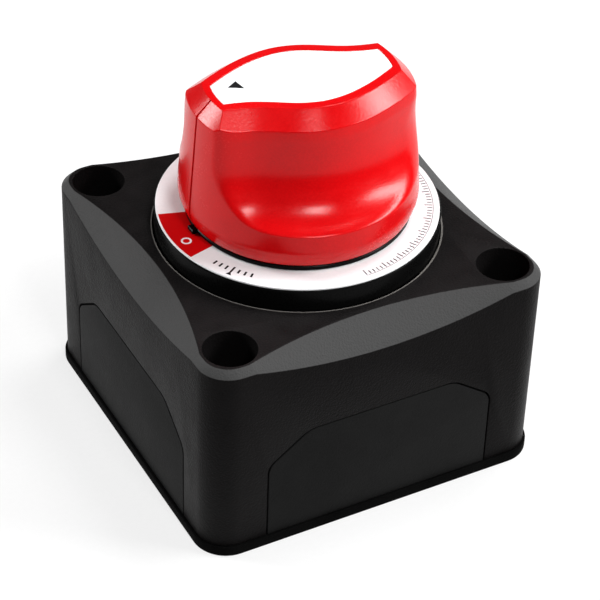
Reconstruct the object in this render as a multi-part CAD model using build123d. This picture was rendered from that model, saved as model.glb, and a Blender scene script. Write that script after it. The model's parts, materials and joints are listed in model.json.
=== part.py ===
from build123d import *
from math import cos, pi, radians, sin, sqrt, tan
import os

# Battery switch for a boat: a square case that is screwed down at its corners,
# with a round dial and a lift-off key knob on top and two terminal studs inside.
# Millimetres.  +Z is the axis of the dial, and Z = 0 is the underside of the base plate.
# -X is the side that the knob's pointer faces when the switch is off.

# ---------------------------------------------------------------- driving sizes

# case
case_land = 8.0
case_top = 42.65
case_corner_radius = 6.0
case_wall = 2.5
case_top_wall = 3.0
case_edge_chamfer = 1.4
lens_run = 5.6
lens_drop = 4.65
lens_radius = 135.0

# fixing screws in the corners
screw_edge_distance = 6.78
screw_hole_radius = 2.7
counterbore_radius = 4.9
counterbore_floor = 8.0
column_radius = 6.4

# base plate
plate_lip = 0.5
plate_thickness = 2.1
plate_rim_height = 1.5
plate_rim_width = 1.5

# side plates and the cable windows behind them
window_half_width = 23.2
window_top = 24.5
window_chamfer_run = 8.1
window_chamfer_drop = 5.9
window_corner_radius = 3.0
window_step = 3.2
side_plate_skin = 1.4

# dial collar
collar_radius = 26.5
collar_height = 4.25
collar_face = 3.0
collar_flange_width = 2.8
collar_flange_thickness = 2.0
collar_wall = 3.0
opening_chamfer = 0.3
collar_pocket_gap = 0.5
collar_pocket_depth = 5.6
module_step = 1.0
gasket_thickness = 1.0
gasket_width = 1.9
gasket_gap = 0.2

# dial label
label_margin = 0.3
label_thickness = 0.3
label_inner_radius = 14.0

# rotor
disc_radius = 21.0
disc_thickness = 0.8
tab_radius = 22.0
tab_width = 1.85
shaft_radius = 9.5
bearing_wall = 3.4
bearing_length = 8.5
seal_section = 0.75
socket_depth = 5.8
post_radius = 5.5
key_radius = 7.2
key_width = 3.0
spigot_width = 8.0
spigot_height = 1.2

# knob
knob_height = 26.5
knob_foot_radius = 21.2
knob_belly_radius = 22.1
knob_belly_height = 3.6
knob_shoulder_radius = 20.7
knob_foot_chamfer = 0.5
knob_chamfer_height = 2.8
knob_chamfer_run = 3.2
knob_end_run = 2.75
knob_wall = 2.0
scoop_floor = 6.7
scoop_radius = 11.5
scoop_draft = 12.0
scoop_reach = 14.5
scoop_edge_radius = 1.0
rim_width = 1.9
insert_thickness = 0.8
insert_end_spare = 0.6
knob_roof = 0.8
groove_width = 0.5
groove_depth = 0.35
grip_ring_section = 0.55

# contacts
carrier_radius = 20.0
carrier_thickness = 2.8
spring_pocket = 1.2
bar_length = 41.0
bar_width = 12.0
bar_thickness = 2.5
bar_drop = 3.2
lug_thickness = 3.0
lug_length = 14.0
lug_overhang = 0.2
post_setback = 0.5
pad_radius = 5.5
pad_thickness = 0.6
carrier_post_radius = 3.6
carrier_screw_radius = 1.5
carrier_screw_head_radius = 3.2
carrier_screw_head_height = 2.0
carrier_screw_bite = 3.0
carrier_slot_width = 1.0
carrier_slot_depth = 1.0
spring_radius = 5.6
spring_wire = 0.4
spring_turns = 3

# detent
detent_angle = 0.0
ball_radius = 1.5
ball_travel = 0.8
detent_block_width = 6.0
detent_block_drop = 0.6
detent_block_gap = 0.5
detent_bore_start_gap = 0.4
detent_spring_radius = 0.95
detent_spring_wire = 0.2
detent_spring_turns = 4
detent_bore_margin = 0.5

# terminals
stud_spacing = 29.0
stud_radius = 5.0
stud_head_overhang = 2.5
stud_head_height = 1.6
stud_neck_step = 0.3
stud_neck_height = 2.0
stud_tip_chamfer = 0.8
stud_floor_gap = 1.9
washer_gap = 0.3
lock_washer_gap = 0.2
contact_base_thickness = 4.5
contact_base_gap = 1.5
column_gap = 0.4
jam_nut_height = 4.8
nut_height = 8.0
nut_wall = 3.5
nut_chamfer = 0.9
washer_width = 5.0
washer_thickness = 1.5
lock_washer_width = 3.8
lock_washer_thickness = 2.5
lock_washer_slot = 1.2

# screws that hold the contact base in the case
boss_radius = 3.2
boss_inset = 1.4
boss_drop = 0.3
case_screw_radius = 1.5
case_screw_bite = 7.0
case_screw_hole_spare = 0.5
case_screw_hole_gap = 0.2
case_screw_head_radius = 2.4
case_screw_head_height = 1.8
driver_slot_width = 0.8
driver_slot_length = 3.2
driver_slot_depth = 0.9
driver_gap = 0.2

# clearances
running = 0.1
face_gap = 0.2
slide_gap = 0.25
label_gap = 0.05
contact_gap = 0.1
seat_gap = 0.2
spring_gap = 0.05

# how far bodies that are joined into one solid run into each other
weld = 0.5

# switch positions, in degrees about +Z from the position at rest, which is off
turn_to_on = -90.0
turn_to_remove = 33.4

# ---------------------------------------------------------------- derived places

case_width = 2 * (collar_radius + case_land)
case_half = case_width / 2
cavity_half = case_half - case_wall
screw_offset = case_half - screw_edge_distance
plate_half = case_half + plate_lip
corners = [(x, y) for x in (-screw_offset, screw_offset) for y in (-screw_offset, screw_offset)]
sides = {"front": 0.0, "right": 90.0, "back": 180.0, "left": 270.0}

ceiling = case_top - case_top_wall
opening_radius = collar_radius + face_gap
flange_radius = collar_radius + collar_flange_width
pocket_radius = flange_radius + collar_pocket_gap
flange_top = ceiling - gasket_thickness
flange_bottom = flange_top - collar_flange_thickness
collar_top = case_top + collar_height
label_top = collar_top + label_thickness
disc_bottom = label_top + face_gap
disc_top = disc_bottom + disc_thickness
bore_radius = shaft_radius + running
bearing_bottom = collar_top - bearing_length
socket_floor = disc_top - socket_depth
knob_foot = disc_top
knob_top = knob_foot + knob_height
chamfer_foot = knob_top - knob_chamfer_height

carrier_top = bearing_bottom - face_gap
carrier_bottom = carrier_top - carrier_thickness
bar_top = carrier_bottom - bar_drop
bar_bottom = bar_top - bar_thickness
moving_pad_bottom = bar_bottom - pad_thickness
fixed_pad_top = moving_pad_bottom - contact_gap
fixed_pad_bottom = fixed_pad_top - pad_thickness
base_top = fixed_pad_bottom - stud_head_height
base_bottom = base_top - contact_base_thickness
base_half = cavity_half - contact_base_gap
module_radius = collar_radius + module_step
chamber_radius = module_radius - collar_wall
detent_bore_end = module_radius + detent_bore_margin
post_foot = bar_bottom + post_setback

stud_tip_radius = stud_radius - stud_tip_chamfer
stud_head_radius = stud_radius + stud_head_overhang
stud_neck_width = 2 * (stud_radius + stud_neck_step)
nut_across_flats = 2 * (stud_radius + nut_wall)
washer_radius = stud_radius + washer_width
lock_washer_radius = stud_radius + lock_washer_width
stud_places = {"supply": -stud_spacing / 2, "load": stud_spacing / 2}
stud_tip = plate_thickness + stud_floor_gap
jam_nut_bottom = base_bottom - jam_nut_height
washer_bottom = jam_nut_bottom - washer_thickness
lock_washer_bottom = washer_bottom - lock_washer_thickness
nut_bottom = lock_washer_bottom - nut_height

column_reach = screw_offset * sqrt(2)
boss_reach = column_reach - column_radius - boss_radius + boss_inset
boss_offset = boss_reach / sqrt(2)
bosses = [(x, y) for x in (-boss_offset, boss_offset) for y in (-boss_offset, boss_offset)]
boss_top = flange_bottom - boss_drop

UP = (Align.CENTER, Align.CENTER, Align.MIN)


# ---------------------------------------------------------------- simple bodies

def disc(radius, bottom, top):
    """A round slab between two heights on the dial axis."""
    return Pos(0, 0, bottom) * Cylinder(radius, top - bottom, align=UP)


def ring(outer, inner, bottom, top):
    """A round slab with a round hole."""
    return disc(outer, bottom, top) - disc(inner, bottom - 1, top + 1)


def slab(width, depth, bottom, top):
    """A rectangular slab between two heights on the dial axis."""
    return Pos(0, 0, bottom) * Box(width, depth, top - bottom, align=UP)


def square(half, radius, bottom, top):
    """A square slab with rounded upright corners."""
    outline = RectangleRounded(2 * half, 2 * half, radius)
    return Pos(0, 0, bottom) * extrude(outline, top - bottom)


def hexagon(across_flats, bottom, top):
    """A hexagonal slab whose corners are turned down to a chamfer at both ends."""
    corner = across_flats / sqrt(3)
    outline = RegularPolygon(corner, 6)
    blank = Pos(0, 0, bottom) * extrude(outline, top - bottom)
    turned = chamfer(disc(corner, bottom, top).edges().filter_by(GeomType.CIRCLE), nut_chamfer)
    return blank & turned


def at(places, shape):
    """Copies of one shape at several places in plan, as separate solids."""
    return [Pos(x, y, 0) * shape for x, y in places]


def group(shapes):
    """Separate solids kept together in one node."""
    return Compound(children=[solid for shape in shapes for solid in shape.solids()])


def coil(radius, wire, bottom, top, turns):
    """A helical spring whose wire just reaches the two heights."""
    height = top - bottom - 2 * wire
    path = Pos(0, 0, bottom + wire) * Helix(height / turns, height, radius)
    section = Plane(origin=path @ 0, z_dir=path % 0) * Circle(wire)
    return sweep(section, path=path, is_frenet=True)


# ---------------------------------------------------------------- case

def lens_cuts():
    """Four wide cylinders that hollow a lens-shaped chamfer into each top edge."""
    slope = sqrt(lens_run ** 2 + lens_drop ** 2)
    out = lens_drop / slope
    up = lens_run / slope
    middle_x = case_half - lens_run / 2
    middle_z = case_top - lens_drop / 2
    place = Plane(
        origin=(middle_x + out * lens_radius, 0, middle_z + up * lens_radius),
        z_dir=(up, 0, -out),
    )
    cutter = place * Cylinder(lens_radius, 4 * slope)
    return [Rot(0, 0, angle) * cutter for angle in sides.values()]


def window_outline(inset):
    """Outline of a side window in its own wall, open downwards past the case."""
    half = window_half_width - inset
    top = window_top - inset
    points = [
        (-half, -5),
        (half, -5),
        (half, top - window_chamfer_drop),
        (half - window_chamfer_run, top),
        (window_chamfer_run - half, top),
        (-half, top - window_chamfer_drop),
    ]
    face = make_face(Polyline(*points, close=True))
    rounded = [vertex for vertex in face.vertices() if vertex.Y > 0]
    return fillet(rounded, window_corner_radius)


def window_prism(inset, outside, inside):
    """A window's outline as a solid across the front wall, between two distances from the axis."""
    wall = Plane(origin=(0, -inside, 0), x_dir=(1, 0, 0), z_dir=(0, -1, 0))
    return wall * extrude(window_outline(inset), outside - inside)


def housing():
    """The case: a square cup, open below, with columns for the fixing screws."""
    shell = square(case_half, case_corner_radius, plate_thickness, case_top)
    shell = chamfer(shell.faces().sort_by(Axis.Z)[-1].edges(), case_edge_chamfer)
    for cutter in lens_cuts():
        shell -= cutter
    shoulder = ceiling - collar_pocket_depth
    inner_radius = case_corner_radius - case_wall
    shell -= square(cavity_half, inner_radius, plate_thickness - 1, shoulder)
    shell -= disc(pocket_radius, shoulder - 1, ceiling)
    inside = square(cavity_half + weld, inner_radius, plate_thickness, ceiling + weld)
    for column in at(corners, disc(column_radius, plate_thickness, ceiling + weld)):
        shell += column & inside
    for boss in at(bosses, disc(boss_radius, base_top, boss_top)):
        shell += boss
    shell -= disc(opening_radius, ceiling - 1, case_top + 1)
    rim = Pos(0, 0, case_top - opening_chamfer)
    shell -= rim * Cone(opening_radius, opening_radius + 2 * opening_chamfer, 2 * opening_chamfer, align=UP)
    for hole in at(corners, disc(screw_hole_radius, plate_thickness - 1, case_top)):
        shell -= hole
    for hole in at(corners, disc(counterbore_radius, counterbore_floor, case_top + 1)):
        shell -= hole
    hole_top = base_top + case_screw_bite + case_screw_hole_spare
    for hole in at(bosses, disc(case_screw_radius, base_top - 1, hole_top)):
        shell -= hole
    for channel in at(bosses, disc(case_screw_head_radius + driver_gap, plate_thickness - 1, base_bottom)):
        shell -= channel
    for angle in sides.values():
        turn = Rot(0, 0, angle)
        shell -= turn * window_prism(0, case_half + 1, case_half - side_plate_skin)
        shell -= turn * window_prism(window_step, case_half, cavity_half - 1)
    return shell


def side_plate(angle):
    """A stepped plate that closes one window: a flush skin and a plug behind it."""
    floor = slab(4 * case_width, 4 * case_width, plate_thickness, window_top + 1)
    skin = window_prism(slide_gap, case_half, case_half - side_plate_skin)
    plug = window_prism(window_step + slide_gap, case_half - side_plate_skin, cavity_half)
    return Rot(0, 0, angle) * ((skin + plug) & floor)


def base_plate():
    """The snap-on plate under the case, with a low rim that locates in the cavity."""
    plate = square(plate_half, case_corner_radius + plate_lip, 0, plate_thickness)
    rim_half = cavity_half - seat_gap
    rim_radius = case_corner_radius - case_wall
    rim_top = plate_thickness + plate_rim_height
    rim = square(rim_half, rim_radius, plate_thickness, rim_top)
    rim -= square(rim_half - plate_rim_width, rim_radius - plate_rim_width, plate_thickness - 1, rim_top + 1)
    for column in at(corners, disc(column_radius + seat_gap, plate_thickness - 1, rim_top + 1)):
        rim -= column
    plate += rim
    for hole in at(corners, disc(screw_hole_radius, -1, plate_thickness + 1)):
        plate -= hole
    return plate


# ---------------------------------------------------------------- dial

def detent_block():
    """A block under the dial face that guides the detent ball towards the carrier's edge."""
    inner = carrier_radius + detent_block_gap
    outer = module_radius - weld
    bottom = carrier_bottom - detent_block_drop
    block = Pos(inner, 0, bottom) * Box(
        outer - inner,
        detent_block_width,
        collar_top - collar_face - bottom,
        align=(Align.MIN, Align.CENTER, Align.MIN),
    )
    return Rot(0, 0, detent_angle) * block


def detent_axis(reach):
    """Place on the detent's own radial line, at one distance from the dial axis."""
    height = carrier_bottom + carrier_thickness / 2
    return Rot(0, 0, detent_angle) * Pos(reach, 0, height) * Rot(0, 90, 0)


def dial_collar():
    """Round upper body of the switch: dial seat, bearing, flange and contact chamber."""
    face_bottom = collar_top - collar_face
    body = disc(collar_radius, flange_bottom, collar_top)
    body += disc(flange_radius, flange_bottom, flange_top)
    body += disc(module_radius, base_top, flange_bottom + weld)
    body -= disc(chamber_radius, base_top - 1, flange_bottom)
    body -= disc(chamber_radius, flange_bottom - 1, face_bottom)
    body += disc(bore_radius + bearing_wall, bearing_bottom, face_bottom + weld)
    body += detent_block() & disc(chamber_radius + weld, base_top, face_bottom + weld)
    body -= disc(bore_radius, bearing_bottom - 1, collar_top + 1)
    bore_start = carrier_radius + detent_bore_start_gap
    bore = Cylinder(ball_radius + running, detent_bore_end - bore_start, align=UP)
    body -= detent_axis(bore_start) * bore
    return body


def collar_gasket():
    """Flat rubber ring between the collar's flange and the case."""
    inner = opening_radius + gasket_gap
    return ring(inner + gasket_width, inner, flange_top, ceiling)


def dial_label():
    """Printed ring on the collar."""
    return ring(collar_radius - label_margin, label_inner_radius, collar_top, label_top)


def rotor_disc():
    """Upper rotor: a disc with a pointer tab, its shaft, and the socket for the knob."""
    body = disc(disc_radius, disc_bottom, disc_top)
    tab_sides = (Align.MAX, Align.CENTER, Align.MIN)
    tab = Box(tab_radius - disc_radius + 1, tab_width, disc_thickness, align=tab_sides)
    body += Pos(1 - disc_radius, 0, disc_bottom) * tab
    body += disc(shaft_radius, carrier_top, disc_bottom + weld)
    body += slab(spigot_width, spigot_width, carrier_top - spigot_height, carrier_top)
    body -= disc(post_radius + running, socket_floor, disc_top + 1)
    keyway = slab(2 * (key_radius + running), key_width + 2 * running, socket_floor, disc_top + 1)
    body -= keyway & disc(key_radius + running, socket_floor, disc_top + 1)
    groove_middle = (bearing_bottom + socket_floor) / 2
    groove = ring(
        shaft_radius + 1,
        shaft_radius - 2 * seal_section,
        groove_middle - seal_section,
        groove_middle + seal_section,
    )
    body -= groove
    hole_top = carrier_top + carrier_screw_bite
    return body - disc(carrier_screw_radius, carrier_top - spigot_height - 1, hole_top)


def shaft_seal():
    """O-ring in the rotor shaft's groove, a running fit in the collar's bore."""
    middle = (bearing_bottom + socket_floor) / 2
    return Pos(0, 0, middle) * Torus(bore_radius - running / 2 - seal_section, seal_section)


# ---------------------------------------------------------------- knob

def grip_line():
    """The S-shaped line of the grip's front wall, at the foot of the top chamfer."""
    points = [
        (-27.5, -4.3),
        (-19.5, -6.65),
        (-13.9, -8.1),
        (-7.4, -11.5),
        (0, -13.7),
        (7.6, -13.0),
        (18.5, -8.6),
        (26.5, -4.1),
    ]
    return Pos(0, 0, chamfer_foot) * Spline(*points)


def along_grip(profile):
    """Sweep a profile along the grip line, and copy it to the opposite side of the knob."""
    path = grip_line()
    start = path % 0
    across = Vector(start.Y, -start.X, 0)
    place = Plane(origin=path @ 0, x_dir=across, z_dir=-start)
    front = sweep(place * profile, path=path)
    return [front, Rot(0, 0, 180) * front]


def scoop_profile(inset):
    """Section of one finger scoop: top chamfer, leaning wall and rounded bowl.

    Sideways is outwards from the grip line, and up is measured from its height.
    """
    draft = radians(scoop_draft)
    radius = scoop_radius + inset
    floor = knob_foot + scoop_floor - inset - chamfer_foot
    centre_z = floor + radius
    turn_z = centre_z + radius * sin(draft)
    turn_x = -turn_z * tan(draft) - inset / cos(draft)
    centre_x = turn_x + radius * cos(draft)
    low = (centre_x - radius * cos(pi / 4), centre_z - radius * sin(pi / 4))
    lip = -inset / cos(draft)
    slope = knob_chamfer_run / knob_chamfer_height
    over = knob_chamfer_height + 2
    crest = lip - over * slope if inset == 0 else lip
    wall = Line((lip, 0), (turn_x, turn_z))
    bowl = ThreePointArc((turn_x, turn_z), low, (centre_x, floor))
    outside = Polyline((centre_x, floor), (scoop_reach, floor), (scoop_reach, over), (crest, over), (lip, 0))
    return make_face(wall + bowl + outside)


def edge_profile(inset):
    """Section that cuts straight down everything outside a line inset from the grip line."""
    return Pos(-inset, 0) * Rectangle(inset + scoop_reach / 2, 12, align=(Align.MIN, Align.CENTER))


def drum(inset):
    """The knob's round blank, or the same shape thinned all over."""
    belly = knob_foot + knob_belly_height
    foot = knob_foot + knob_foot_chamfer
    points = [
        (0, knob_foot),
        (knob_foot_radius - knob_foot_chamfer - inset, knob_foot),
        (knob_foot_radius - inset, foot),
        (knob_belly_radius - inset, belly),
        (knob_shoulder_radius - inset, chamfer_foot),
        (knob_shoulder_radius - knob_end_run - inset, knob_top),
        (0, knob_top),
    ]
    outline = make_face(Plane.XZ * Polyline(*points, close=True))
    return revolve(outline, Axis.Z)


def grip_top(extra):
    """The shape of the white insert, or of its pocket with a little extra all round."""
    reach = knob_shoulder_radius - knob_end_run - rim_width + insert_end_spare + extra
    top = disc(reach, knob_top - insert_thickness, knob_top)
    for cutter in along_grip(edge_profile(knob_chamfer_run + rim_width - extra)):
        top -= cutter
    return top


def knob():
    """Hollow red key knob with its drive post and two keys."""
    body = drum(0)
    for cutter in along_grip(scoop_profile(0)):
        body -= cutter
    scoop_edges = body.edges().filter_by(GeomType.BSPLINE).sort_by(SortBy.LENGTH)[-2:]
    body = fillet(scoop_edges, scoop_edge_radius)
    hollow = drum(knob_wall) & disc(knob_belly_radius, knob_foot, chamfer_foot - knob_roof)
    for cutter in along_grip(scoop_profile(knob_wall)):
        hollow -= cutter
    body -= hollow
    body -= disc(knob_foot_radius - knob_wall, knob_foot - 1, knob_foot + 1)
    body -= grip_top(label_gap)
    groove = drum(0) - drum(groove_depth)
    groove &= slab(4 * knob_belly_radius, groove_width, knob_foot, knob_top + 1)
    body -= groove & Pos(-knob_belly_radius, 0, 0) * slab(12, 4, knob_foot - 1, knob_top + 1)
    tip = socket_floor + face_gap
    body += disc(post_radius, tip, chamfer_foot - weld)
    ring_height = disc_top - 2 * grip_ring_section
    key = slab(2 * key_radius, key_width, tip, ring_height - 2 * grip_ring_section)
    body += key & disc(key_radius, tip, disc_top)
    body -= ring(
        post_radius + 1,
        post_radius - 2 * grip_ring_section,
        ring_height - grip_ring_section,
        ring_height + grip_ring_section,
    )
    return body


def knob_label():
    """White insert in the top of the knob."""
    return grip_top(0)


def knob_grip_ring():
    """Rubber ring on the knob's post that holds the knob in its socket."""
    reach = post_radius - grip_ring_section + running / 2
    return Pos(0, 0, disc_top - 2 * grip_ring_section) * Torus(reach, grip_ring_section)


# ---------------------------------------------------------------- contacts

def contact_carrier():
    """Lower rotor: turns the contact bar between two lugs and has the detent notches."""
    body = disc(carrier_radius, carrier_bottom, carrier_top)
    lug_bottom = bar_bottom + lug_overhang
    for side in (-1, 1):
        offset = side * (bar_width / 2 + running + lug_thickness / 2)
        body += Pos(0, offset, 0) * slab(lug_length, lug_thickness, lug_bottom, carrier_bottom)
    body -= ring(
        spring_radius + 2 * spring_wire,
        spring_radius - 2 * spring_wire,
        carrier_bottom - 1,
        carrier_bottom + spring_pocket,
    )
    body += disc(carrier_post_radius, post_foot, carrier_bottom)
    body -= slab(spigot_width, spigot_width, carrier_top - spigot_height, carrier_top + 1)
    body -= disc(carrier_screw_radius, post_foot - 1, carrier_top)
    notch_reach = carrier_radius + ball_radius + face_gap - ball_travel
    for turn in (0, turn_to_on, turn_to_remove):
        notch = detent_axis(notch_reach) * Sphere(ball_radius + face_gap)
        body -= Rot(0, 0, -turn) * notch
    return body


def carrier_screw():
    """Screw that clamps the carrier to the rotor shaft."""
    head = disc(carrier_screw_head_radius, post_foot - carrier_screw_head_height, post_foot)
    slot_foot = post_foot - carrier_screw_head_height
    slot_top = slot_foot + carrier_slot_depth
    head -= slab(carrier_slot_width, 2 * carrier_screw_head_radius, slot_foot - 1, slot_top)
    return head + disc(carrier_screw_radius, post_foot, carrier_top + carrier_screw_bite)


def contact_bar():
    """Copper bar with round ends that bridges the two stud heads."""
    bar = slab(bar_length, bar_width, bar_bottom, bar_top)
    bar &= disc(bar_length / 2, bar_bottom, bar_top)
    return bar - disc(carrier_post_radius + running, bar_bottom - 1, bar_top + 1)


def moving_contacts():
    """Silver pads under the ends of the contact bar."""
    places = [(-stud_spacing / 2, 0), (stud_spacing / 2, 0)]
    return group(at(places, disc(pad_radius, moving_pad_bottom, bar_bottom)))


def contact_spring():
    """Coil spring between the contact bar and its pocket in the carrier."""
    return coil(spring_radius, spring_wire, bar_top, carrier_bottom + spring_pocket, spring_turns)


def detent_ball():
    """Steel ball of the detent, riding just clear of the carrier's edge."""
    return detent_axis(carrier_radius + ball_radius + face_gap) * Sphere(ball_radius)


def detent_spring():
    """Coil spring behind the detent ball."""
    start = carrier_radius + 2 * ball_radius + face_gap + spring_gap
    return detent_axis(start) * coil(
        detent_spring_radius, detent_spring_wire, 0, detent_bore_end - start, detent_spring_turns
    )


# ---------------------------------------------------------------- terminals

def contact_base():
    """Insulating plate that closes the contact chamber and carries the studs."""
    plate = square(base_half, case_corner_radius - case_wall, base_bottom, base_top)
    for column in at(corners, disc(column_radius + column_gap, base_bottom - 1, base_top + 1)):
        plate -= column
    for hole in at(bosses, disc(case_screw_radius + case_screw_hole_gap, base_bottom - 1, base_top + 1)):
        plate -= hole
    for place in stud_places.values():
        plate -= Pos(0, place, 0) * disc(stud_radius, base_bottom - 1, base_top + 1)
        neck = slab(stud_neck_width, stud_neck_width, base_top - stud_neck_height, base_top + 1)
        plate -= Pos(0, place, 0) * neck
    return plate


def terminal_stud(place):
    """Threaded stud with a square neck and a flat head that is the fixed contact."""
    stud = disc(stud_radius, stud_tip, base_top)
    stud = chamfer(stud.faces().sort_by(Axis.Z)[0].edges(), stud_radius - stud_tip_radius)
    stud += slab(stud_neck_width, stud_neck_width, base_top - stud_neck_height, base_top)
    stud += disc(stud_head_radius, base_top, base_top + stud_head_height)
    return Pos(0, place, 0) * stud


def on_studs(shape):
    """One copy of a piece of terminal hardware on each stud."""
    return group(at([(0, place) for place in stud_places.values()], shape))


def fixed_contacts():
    """Silver pads on the stud heads."""
    return on_studs(disc(pad_radius, fixed_pad_bottom, fixed_pad_top))


def stud_nuts(bottom, height):
    """Hexagon nuts on both studs."""
    nut = hexagon(nut_across_flats, bottom, bottom + height)
    return on_studs(nut - disc(stud_radius, bottom - 1, bottom + height + 1))


def stud_washers():
    """Flat washers on both studs."""
    return on_studs(ring(washer_radius, stud_radius + washer_gap, washer_bottom, jam_nut_bottom))


def stud_lock_washers():
    """Split spring washers on both studs."""
    washer = ring(lock_washer_radius, stud_radius + lock_washer_gap, lock_washer_bottom, washer_bottom)
    slot = Pos(lock_washer_radius, 0, 0) * slab(
        2 * lock_washer_radius - 2, lock_washer_slot, lock_washer_bottom - 1, washer_bottom + 1
    )
    return on_studs(washer - slot)


def case_screws():
    """Four screws that hold the contact base up against the case's bosses."""
    head_bottom = base_bottom - case_screw_head_height
    screw = disc(case_screw_head_radius, head_bottom, base_bottom)
    slot_top = head_bottom + driver_slot_depth
    screw -= slab(driver_slot_length, driver_slot_width, head_bottom - 1, slot_top)
    screw -= slab(driver_slot_width, driver_slot_length, head_bottom - 1, slot_top)
    screw += disc(case_screw_radius, base_bottom, base_top + case_screw_bite)
    return group(at(bosses, screw))


# ---------------------------------------------------------------- parts

nodes = {
    "base_plate": base_plate(),
    "housing": housing(),
    "dial_collar": dial_collar(),
    "collar_gasket": collar_gasket(),
    "dial_label": dial_label(),
    "rotor_disc": rotor_disc(),
    "shaft_seal": shaft_seal(),
    "knob": knob(),
    "knob_label": knob_label(),
    "knob_grip_ring": knob_grip_ring(),
    "contact_carrier": contact_carrier(),
    "carrier_screw": carrier_screw(),
    "contact_bar": contact_bar(),
    "moving_contacts": moving_contacts(),
    "contact_spring": contact_spring(),
    "detent_ball": detent_ball(),
    "detent_spring": detent_spring(),
    "contact_base": contact_base(),
    "fixed_contacts": fixed_contacts(),
    "stud_jam_nuts": stud_nuts(jam_nut_bottom, jam_nut_height),
    "stud_washers": stud_washers(),
    "stud_lock_washers": stud_lock_washers(),
    "stud_nuts": stud_nuts(nut_bottom, nut_height),
    "case_screws": case_screws(),
}
for name, angle in sides.items():
    nodes["side_plate_" + name] = side_plate(angle)
for name, place in stud_places.items():
    nodes["terminal_stud_" + name] = terminal_stud(place)

os.makedirs("parts", exist_ok=True)
for name, shape in nodes.items():
    export_step(shape, "parts/" + name + ".step")
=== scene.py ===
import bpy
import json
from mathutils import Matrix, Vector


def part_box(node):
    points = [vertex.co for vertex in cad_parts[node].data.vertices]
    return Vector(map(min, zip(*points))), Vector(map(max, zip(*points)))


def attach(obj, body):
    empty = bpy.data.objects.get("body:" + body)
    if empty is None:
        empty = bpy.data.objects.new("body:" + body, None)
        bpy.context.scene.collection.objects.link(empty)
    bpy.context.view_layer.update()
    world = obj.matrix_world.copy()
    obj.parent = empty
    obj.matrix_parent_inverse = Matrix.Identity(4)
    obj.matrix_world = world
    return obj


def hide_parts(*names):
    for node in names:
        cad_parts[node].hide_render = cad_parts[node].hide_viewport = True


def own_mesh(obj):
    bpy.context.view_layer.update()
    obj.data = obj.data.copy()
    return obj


bl_info = {
    "name": "Battery Switch",
    "version": (1, 0, 0),
    "blender": (4, 5, 0),
    "location": "View3D > Sidebar > Battery Switch",
    "description": "Builds the visible pieces and finishes of a rotary battery switch",
    "category": "Object",
}

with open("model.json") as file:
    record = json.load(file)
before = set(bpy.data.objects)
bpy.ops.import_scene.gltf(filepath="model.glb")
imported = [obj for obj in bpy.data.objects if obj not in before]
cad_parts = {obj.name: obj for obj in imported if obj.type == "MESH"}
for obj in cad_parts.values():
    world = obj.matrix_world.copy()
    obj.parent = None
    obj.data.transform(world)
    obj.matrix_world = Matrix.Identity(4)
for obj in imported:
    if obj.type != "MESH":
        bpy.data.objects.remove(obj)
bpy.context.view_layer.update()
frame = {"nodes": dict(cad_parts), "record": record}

import json
from math import asin, atan2, cos, pi, radians, sin, sqrt, tan

import bmesh
import bpy
import numpy as np
from bpy.props import FloatProperty, FloatVectorProperty, IntProperty, PointerProperty
from mathutils import Matrix, Vector

MM = 0.001

record = frame["record"]
screws = next(mount for mount in record["mounts"] if mount["name"] == "panel_screws")
SCREW_OFFSET = screws["dims"]["spacing_x_mm"] / 2 * MM
SCREW_HOLE = screws["dims"]["hole_r_mm"] * MM
CORNERS = [(x, y) for x in (-SCREW_OFFSET, SCREW_OFFSET) for y in (-SCREW_OFFSET, SCREW_OFFSET)]
SIDES = {"front": 0.0, "right": 90.0, "back": 180.0, "left": 270.0}

case_low, case_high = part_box("housing")
plate_low, plate_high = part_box("base_plate")
collar_low, collar_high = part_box("dial_collar")
label_low, label_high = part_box("dial_label")
disc_low, disc_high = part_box("rotor_disc")
knob_low, knob_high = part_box("knob")
insert_low, insert_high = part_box("knob_label")

CASE_HALF = case_high.x
CASE_TOP = case_high.z
CASE_FLOOR = case_low.z
COLLAR_RADIUS = label_high.x + 0.3 * MM
KNOB_FOOT = disc_high.z
KNOB_TOP = knob_high.z

WELD = 0.0005 * MM
CUT_WELD = 0.002 * MM
OVERSHOOT = 5 * MM


# ---------------------------------------------------------------- sizes and colours

def size_of(name, description, default, low=0.0):
    """A size property, given in millimetres."""
    return FloatProperty(
        name=name, description=description, default=default * MM, min=low * MM, unit="LENGTH")


def angle_of(name, description, default):
    """An angle property, given in degrees."""
    return FloatProperty(name=name, description=description, default=radians(default), subtype="ANGLE")


def colour_of(name, description, default):
    """A colour property."""
    return FloatVectorProperty(
        name=name, description=description, default=default, subtype="COLOR", min=0, max=1)


class CaseSizes(bpy.types.PropertyGroup):
    corner_radius: size_of("Corner radius", "Radius of the case's upright corners", 6.0, 1.0)
    edge_chamfer: size_of("Edge chamfer", "Width of the narrow chamfer round the case top", 1.4, 0.2)
    lens_run: size_of("Lens run", "How far a lens chamfer reaches in over the case top", 5.6, 1.0)
    lens_drop: size_of("Lens drop", "How far a lens chamfer reaches down the case side", 4.65, 1.0)
    lens_radius: size_of("Lens radius", "Radius of the hollow in a lens chamfer", 135.0, 60.0)
    counterbore: size_of("Counterbore", "Radius of the recesses for the fixing screws", 4.9, 3.0)
    counterbore_floor: size_of("Counterbore floor", "Height of the floor of those recesses", 8.0, 3.0)
    wall: size_of("Wall", "Thickness of the case's walls", 2.5, 1.0)
    soft_edge: size_of("Soft edge", "Rounding of the moulded edges", 0.16, 0.02)


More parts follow.
